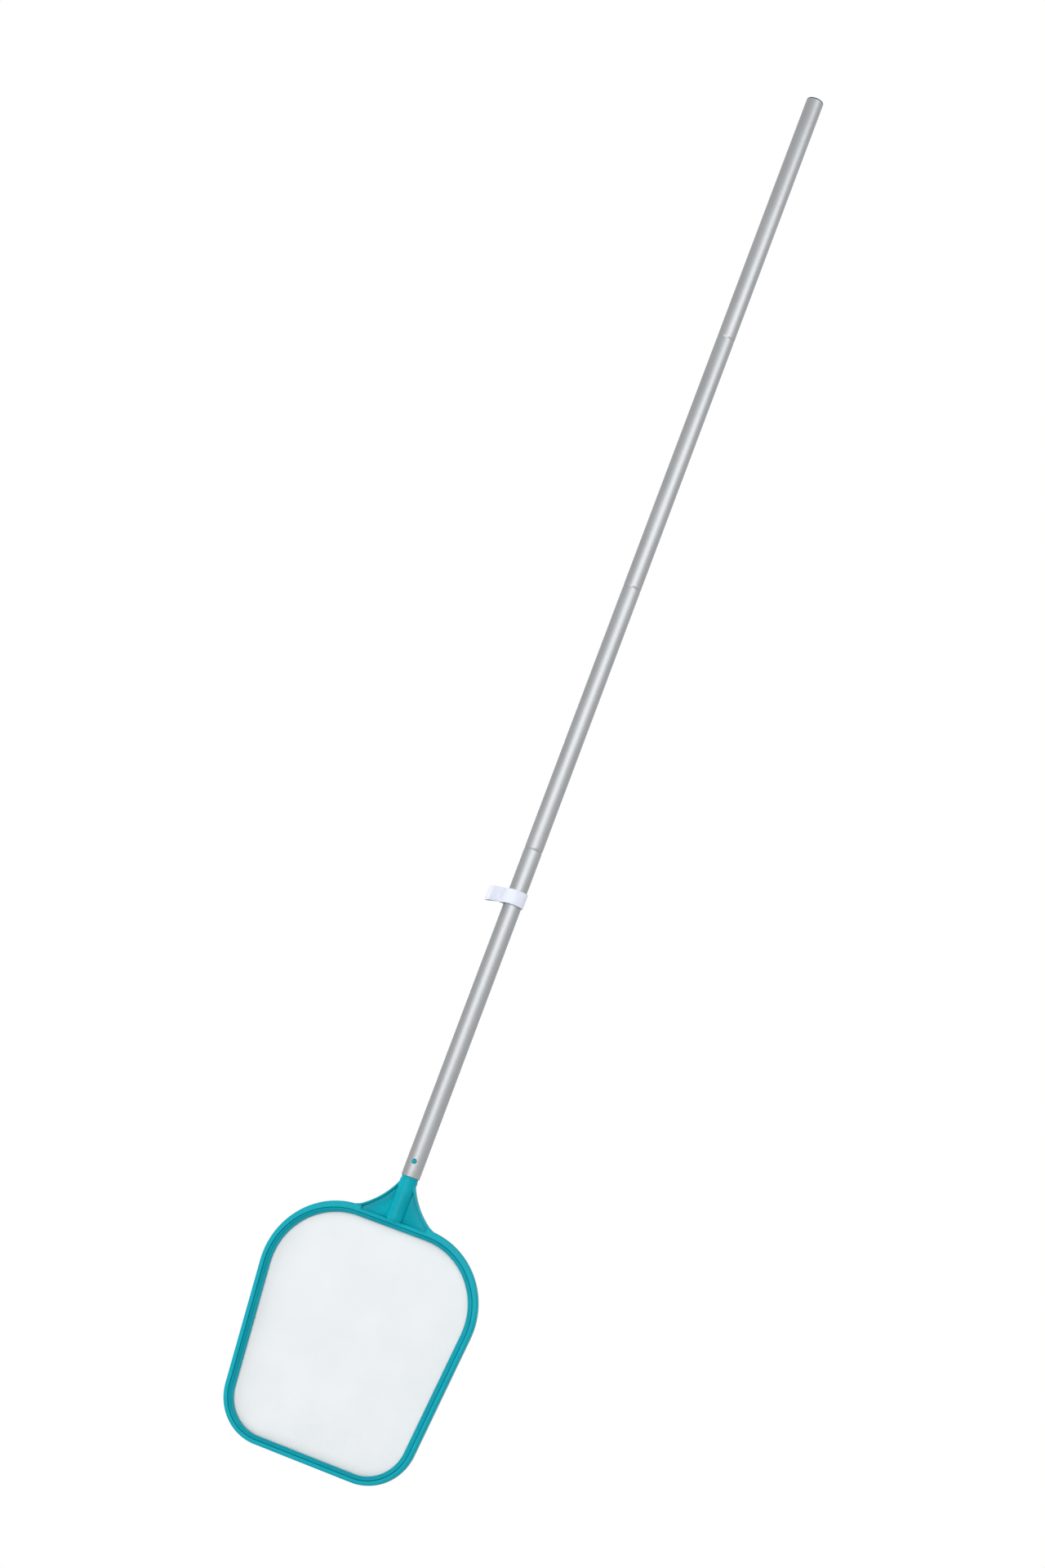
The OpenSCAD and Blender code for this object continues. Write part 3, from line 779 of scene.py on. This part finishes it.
def makeNetFrame():
    ring = makeFrameRing()
    bmesh.ops.transform(ring, matrix=headPlace, verts=ring.verts[:])
    made = makeObject("netFrame", ring, tealPlastic)
    tools = []
    reach = gussetPlan["halfDepth"] + gussetPlan["cutterReach"]
    for name, bm, operation in (
            ("gussets", makeGussets(), "UNION"),
            ("frontPanels", makePanelCutters(gussetPlan["webHalf"], reach), "DIFFERENCE"),
            ("backPanels", makePanelCutters(-reach, -gussetPlan["webHalf"]), "DIFFERENCE")):
        bmesh.ops.transform(bm, matrix=headPlace, verts=bm.verts[:])
        tools.append((makeObject(name, bm, tealPlastic), operation))
    tools.append((makeObject("neck", makeNeck(), tealPlastic), "UNION"))
    tools.append((makeHoleCutter(buttonPlan["spigotGap"]), "DIFFERENCE"))
    for tool, operation in tools:
        addModifier(made, "BOOLEAN", object=tool, operation=operation, solver="EXACT")
    applyModifiers(made, [tool for tool, operation in tools])
    return joinBody(made, "net_end", "head", "net_frame")


makeNetFrame()
retainer = makeRetainer()
bmesh.ops.transform(retainer, matrix=headPlace, verts=retainer.verts[:])
joinBody(makeObject("retainingRing", retainer, retainerShadedTeal), "net_end", "head",
         "net_retaining_ring")
print("frame and retaining ring made")


netPlan = {
    "pitch": 0.0009,
    "width": 0.0005,
    "thickness": 0.00012,
    "upright": -0.00022,  # heights of the two layers of thread over the retaining ring's foot
    "level": -0.00032,
    "cuts": 16,  # along each thread, so that it can follow the wave
    "shortest": 0.002,  # edges longer than this run along a thread
    "wave": 0.00035,
    "waveScale": 14.0,
    "edge": 0.0003,  # the net's margin inside the groove
}


# where a line across the net meets its edge, from the corner points of one half
def measureEdge(points, at, axis):
    other = 1 - axis
    crossings = []
    for first, second in zip(points, points[1:] + points[:1]):
        if (first[axis] - at) * (second[axis] - at) < 0:
            share = (at - first[axis]) / (second[axis] - first[axis])
            crossings.append(first[other] + share * (second[other] - first[other]))
    return min(crossings), max(crossings)


def makeNet():
    plan = netPlan
    outline = bmesh.new()
    chainHalf(outline, drawIn(grooveLine, plan["edge"], plan["edge"], plan["edge"]), 0)
    half = [tuple(vertex.co.xy) for vertex in outline.verts]
    outline.free()
    points = half + [(-x, y) for x, y in reversed(half)]
    bm = bmesh.new()
    lowX, highX = min(p[0] for p in points), max(p[0] for p in points)
    lowY, highY = min(p[1] for p in points), max(p[1] for p in points)
    for axis, low, high, height in ((0, lowX, highX, plan["upright"]),
                                    (1, lowY, highY, plan["level"])):
        count = int((high - low) / plan["pitch"])
        margin = (high - low - count * plan["pitch"]) / 2
        for number in range(count + 1):
            at = low + margin + number * plan["pitch"]
            start, end = measureEdge(points, at, axis)
            size = [plan["width"], end - start] if axis == 0 else [end - start, plan["width"]]
            middle = [at, (start + end) / 2] if axis == 0 else [(start + end) / 2, at]
            place = (Matrix.Translation((*middle, height))
                     @ Matrix.Diagonal((*size, plan["thickness"], 1)))
            bmesh.ops.create_cube(bm, size=1, matrix=place)
    runs = [edge for edge in bm.edges if edge.calc_length() > plan["shortest"]]
    bmesh.ops.subdivide_edges(bm, edges=runs, cuts=plan["cuts"])
    for vertex in bm.verts:
        wave = noise.noise(Vector((vertex.co.x, vertex.co.y, 0)) * plan["waveScale"])
        vertex.co.z += wave * plan["wave"]
    bmesh.ops.recalc_face_normals(bm, faces=bm.faces[:])
    bmesh.ops.transform(bm, matrix=headPlace, verts=bm.verts[:])
    made = makeObject("net", bm, netThread, crease=180)
    joinBody(made, "net_end", "net", "net_mesh")


makeNet()
print("net made")


clipPlan = {
    "width": 0.007,
    "thickness": 0.0016,
    "bendRadius": 0.004,
    "pivotDrop": 0.018,
    "armOut": 0.007,
    "tip": 0.005,
    "flexGap": 0.0002,
    "edgeRounding": 0.0003,
    "domeRise": 0.0008,
    "domeRounding": 0.0009,
    "crownRadius": 0.0012,
    "crownDrop": 0.00008,
    "crownRounding": 0.0006,
}


# one springy arm with its domed button; side is -1 at the front and 1 at the rear
def makeClipArm(name, side, body, node):
    plan = clipPlan
    run = buttonPlan["height"] + plan["pivotDrop"]
    lean = math.atan((plan["armOut"] - plan["bendRadius"]) / run)
    length = (run + plan["tip"]) / math.cos(lean)
    bm = bmesh.new()
    size = (plan["width"], plan["thickness"], length - plan["flexGap"])
    place = (Matrix.Translation((0, plan["bendRadius"], -plan["pivotDrop"]))
             @ Matrix.Rotation(-lean, 4, "X")
             @ Matrix.Translation((0, 0, (length + plan["flexGap"]) / 2))
             @ Matrix.Diagonal((*size, 1)))
    bmesh.ops.create_cube(bm, size=1, matrix=place)
    roundOff(bm, bm.edges[:], plan["edgeRounding"], segments=3)
    tip = tubePlan["radius"] + buttonPlan["proud"]
    radius = buttonPlan["radius"]
    profile = [
        (0, plan["armOut"], 0), (radius, plan["armOut"], 0),
        (radius, tip - plan["domeRise"], plan["domeRounding"]),
        (plan["crownRadius"], tip - plan["crownDrop"], plan["crownRounding"]), (0, tip, 0),
    ]
    knob = turnProfile(profile, buttonPlan["sides"], isOpen=True)
    toSide = (Matrix.Translation((0, 0, buttonPlan["height"]))
              @ Matrix.Rotation(-math.pi / 2, 4, "X"))
    bmesh.ops.transform(knob, matrix=toSide, verts=knob.verts[:])
    for part in (bm, knob):
        bmesh.ops.scale(part, vec=(1, side, 1), verts=part.verts[:])
        bmesh.ops.translate(part, vec=(0, 0, rimZ), verts=part.verts[:])
        bmesh.ops.recalc_face_normals(part, faces=part.faces[:])
    arm = makeObject(name, bm, tealPlastic)
    button = makeObject("knob", knob, tealPlastic)
    addModifier(arm, "BOOLEAN", object=button, operation="UNION", solver="EXACT")
    applyModifiers(arm, [button])
    joinBody(arm, body, "head", node)


makeClipArm("frontButton", -1, "front_button", "clip_arm_front")
makeClipArm("rearButton", 1, "rear_button", "clip_arm_rear")
frame["nodes"]["clip_bend"].data.materials.clear()
frame["nodes"]["clip_bend"].data.materials.append(tealPlastic)
print("lock clip made")


strapPlan = {
    "width": 0.02,
    "thickness": 0.0014,
    "turn": 15.0,
    "wrapRadius": 0.01345,
    "lead": 0.6,  # radians from the free loop's side to where the wrap leaves the pole
    "pinch": 0.0202,
    "pinchHalf": 0.00075,
    "loopX": -0.0319,
    "loopRadius": 0.0053,
    "sag": 0.005,  # how far the free loop's end hangs
    "sagCurve": 1.4,
    "edgeRounding": 0.0004,
    "rows": 10,
    "wrapSteps": 56,
    "loopSteps": 16,
    "tabSteps": 28,
    "tabRadius": 0.01475,
    "tabThickness": 0.0011,
    "tabStart": 215.0,
    "tabAngle": 125.0,
}


def startRibbon():
    bm = bmesh.new()
    bm.verts.layers.float.new("run")
    bm.loops.layers.uv.new("strip")
    return bm


def addArcStart(bm, radius, angle):
    return bm.verts.new((radius * math.cos(angle), radius * math.sin(angle), 0))


# a ribbon standing on a chain of vertices, with its run and height kept as UVs
def raiseRibbon(bm, chain, width, rows, isClosed):
    runs = [0.0]
    for first, second in zip(chain, chain[1:]):
        runs.append(runs[-1] + (second.co - first.co).length)
        if not bm.edges.get((first, second)):
            bm.edges.new((first, second))
    length = runs[-1]
    if isClosed:
        length += (chain[0].co - chain[-1].co).length
        bm.edges.new((chain[-1], chain[0]))
    runLayer = bm.verts.layers.float["run"]
    for vertex, run in zip(chain, runs):
        vertex[runLayer] = run
    edges = bm.edges[:]
    for _ in range(rows):
        raised = bmesh.ops.extrude_edge_only(bm, edges=edges)["geom"]
        edges = [item for item in raised if isinstance(item, bmesh.types.BMEdge)]
        tops = [item for item in raised if isinstance(item, bmesh.types.BMVert)]
        bmesh.ops.translate(bm, verts=tops, vec=(0, 0, width / rows))
    uvLayer = bm.loops.layers.uv["strip"]
    for face in bm.faces:
        first = min(loop.vert[runLayer] for loop in face.loops)
        for loop in face.loops:
            run = loop.vert[runLayer]
            if isClosed and first == 0 and run > length / 2:
                run -= length
            loop[uvLayer].uv = (run, loop.vert.co.z)
    return length


# the loop beyond the pole hangs a little, more towards its end
def sagLoop(bm):
    plan = strapPlan
    reach = -plan["loopX"] + plan["loopRadius"] - plan["wrapRadius"]
    for vertex in bm.verts:
        share = max(0.0, -vertex.co.x - plan["wrapRadius"]) / reach
        vertex.co.z -= plan["sag"] * share ** plan["sagCurve"]


def finishRibbon(name, bm, thickness, nodes):
    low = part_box("storage_strap")[0].z
    turned = Matrix.Rotation(math.radians(strapPlan["turn"]), 4, "Z")
    bmesh.ops.transform(bm, matrix=Matrix.Translation((0, 0, low)) @ turned, verts=bm.verts[:])
    made = makeObject(name, bm, softWebbing, crease=60)
    addModifier(made, "SOLIDIFY", thickness=thickness, offset=0)
    applyModifiers(made)
    addModifier(made, "BEVEL", width=strapPlan["edgeRounding"], segments=3, limit_method="ANGLE")
    applyModifiers(made)
    joinBody(made, "strap", "webbing", *nodes)
    return made


def makeStrap():
    plan = strapPlan
    bm = startRibbon()
    first = addArcStart(bm, plan["wrapRadius"], math.pi + plan["lead"])
    chain = [first]
    chain += spinVertex(bm, first, (0, 0, 0), math.tau - 2 * plan["lead"], plan["wrapSteps"])
    chain.append(bm.verts.new((-plan["pinch"], plan["pinchHalf"], 0)))
    chain.append(bm.verts.new((plan["loopX"], plan["loopRadius"], 0)))
    chain += spinVertex(bm, chain[-1], (plan["loopX"], 0, 0), math.pi, plan["loopSteps"])
    chain.append(bm.verts.new((-plan["pinch"], -plan["pinchHalf"], 0)))
    length = raiseRibbon(bm, chain, plan["width"], plan["rows"], True)
    sagLoop(bm)
    finishRibbon("strapBand", bm, plan["thickness"], ["storage_strap"])


def makeHookTab():
    plan = strapPlan
    bm = startRibbon()
    first = addArcStart(bm, plan["tabRadius"], math.radians(plan["tabStart"]))
    chain = [first]
    chain += spinVertex(bm, first, (0, 0, 0), math.radians(plan["tabAngle"]), plan["tabSteps"])
    length = raiseRibbon(bm, chain, plan["width"], plan["rows"], False)
    finishRibbon("strapHookTab", bm, plan["tabThickness"], ["strap_hook_tab"])


makeStrap()
makeHookTab()
print("storage strap made")


studioPlan = {
    "floorDrop": 0.5,
    "floorSize": 14.0,
    "clearFrom": 0.45,  # the floor fades to plain white between these distances from the pole
    "clearTo": 1.2,
    "worldLight": 0.42,
    "floorWhite": 0.92,
    "floorRoughness": 0.9,
    "floorShine": 0.1,
    "floorSides": 96,
    "floorLift": 0.1,  # brings the seen floor up to white where nothing shades it
}


def makeFloor():
    plan = studioPlan
    bm = bmesh.new()
    place = Matrix.Translation((0, 0, cadLow.z - plan["floorDrop"]))
    bmesh.ops.create_circle(bm, cap_ends=True, segments=plan["floorSides"],
                            radius=plan["floorSize"], matrix=place)
    material, tree, shader, place = startMaterial("paleFloor")
    shader.inputs["Base Color"].default_value = (*[plan["floorWhite"]] * 3, 1)
    shader.inputs["Roughness"].default_value = plan["floorRoughness"]
    shader.inputs["Specular IOR Level"].default_value = plan["floorShine"]
    glow = tree.nodes.new("ShaderNodeEmission")
    glow.inputs["Color"].default_value = (1, 1, 1, 1)
    light = tree.nodes.new("ShaderNodeLightPath")
    distance = tree.nodes.new("ShaderNodeVectorMath")
    distance.operation = "LENGTH"
    flat = tree.nodes.new("ShaderNodeVectorMath")
    flat.operation = "MULTIPLY"
    flat.inputs[1].default_value = (1, 1, 0)
    tree.links.new(place.outputs["Object"], flat.inputs[0])
    tree.links.new(flat.outputs["Vector"], distance.inputs[0])
    fade = tree.nodes.new("ShaderNodeMapRange")
    fade.interpolation_type = "SMOOTHSTEP"
    fade.inputs["From Min"].default_value = plan["clearFrom"]
    fade.inputs["From Max"].default_value = plan["clearTo"]
    tree.links.new(distance.outputs["Value"], fade.inputs["Value"])
    seen = addMath(tree, "MAXIMUM", light.outputs["Is Camera Ray"], light.outputs["Is Glossy Ray"])
    clear = addMath(tree, "MULTIPLY", fade.outputs["Result"], seen)
    lift = tree.nodes.new("ShaderNodeEmission")
    lift.inputs["Color"].default_value = (1, 1, 1, 1)
    tree.links.new(addMath(tree, "MULTIPLY", plan["floorLift"], seen), lift.inputs["Strength"])
    lifted = tree.nodes.new("ShaderNodeAddShader")
    tree.links.new(shader.outputs["BSDF"], lifted.inputs[0])
    tree.links.new(lift.outputs["Emission"], lifted.inputs[1])
    mix = tree.nodes.new("ShaderNodeMixShader")
    tree.links.new(clear, mix.inputs["Fac"])
    tree.links.new(lifted.outputs["Shader"], mix.inputs[1])
    tree.links.new(glow.outputs["Emission"], mix.inputs[2])
    tree.links.new(mix.outputs["Shader"], tree.nodes["Material Output"].inputs["Surface"])
    floor = makeObject("floor", bm, material)


def makeWorld():
    world = bpy.data.worlds.new("studio")
    scene.world = world
    world.use_nodes = True
    tree = world.node_tree
    soft = tree.nodes["Background"]
    soft.inputs["Color"].default_value = (1, 1, 1, 1)
    soft.inputs["Strength"].default_value = studioPlan["worldLight"]
    white = tree.nodes.new("ShaderNodeBackground")
    white.inputs["Color"].default_value = (1, 1, 1, 1)
    white.inputs["Strength"].default_value = 1
    light = tree.nodes.new("ShaderNodeLightPath")
    seen = addMath(tree, "MAXIMUM", light.outputs["Is Camera Ray"], light.outputs["Is Glossy Ray"])
    seen = addMath(tree, "MAXIMUM", seen, light.outputs["Is Transmission Ray"])
    mix = tree.nodes.new("ShaderNodeMixShader")
    tree.links.new(seen, mix.inputs["Fac"])
    tree.links.new(soft.outputs["Background"], mix.inputs[1])
    tree.links.new(white.outputs["Background"], mix.inputs[2])
    tree.links.new(mix.outputs["Shader"], tree.nodes["World Output"].inputs["Surface"])


# long soft lamps round the pole: (foot, head, width, power, whether the metal mirrors it)
lampPlan = {
    "keyLamp": ((-0.98, -2.69, -1.9), (2.45, -1.24, 1.98), 1.3, 66, True),
    "leftLamp": ((-2.6, -0.8, -2.1), (-2.6, -0.8, -1.2), 0.8, 34, False),
    "rightLamp": ((2.3, 1.5, -1.8), (2.3, 1.5, 0.6), 0.8, 14, False),
    "backLamp": ((-0.9, 2.6, -1.8), (-0.9, 2.6, 0.6), 0.8, 36, True),
}


def addLamp(name, foot, head, width, power, isMirrored):
    foot, head = Vector(foot), Vector(head)
    middle = (foot + head) / 2
    along = (head - foot).normalized()
    away = middle - Vector((0, 0, (cadLow.z + cadHigh.z) / 2))
    away = (away - away.dot(along) * along).normalized()
    lamp = bpy.data.lights.new(name, "AREA")
    lamp.shape = "RECTANGLE"
    lamp.size, lamp.size_y = width, (head - foot).length
    lamp.energy = power
    made = bpy.data.objects.new(name, lamp)
    turned = Matrix((along.cross(away), along, away)).transposed()
    made.matrix_world = Matrix.Translation(middle) @ turned.to_4x4()
    made.visible_camera = False
    made.visible_glossy = isMirrored
    scene.collection.objects.link(made)


makeFloor()
makeWorld()
for name, lamp in lampPlan.items():
    addLamp(name, *lamp)
print("floor, lamps and background made")

bpy.context.view_layer.update()
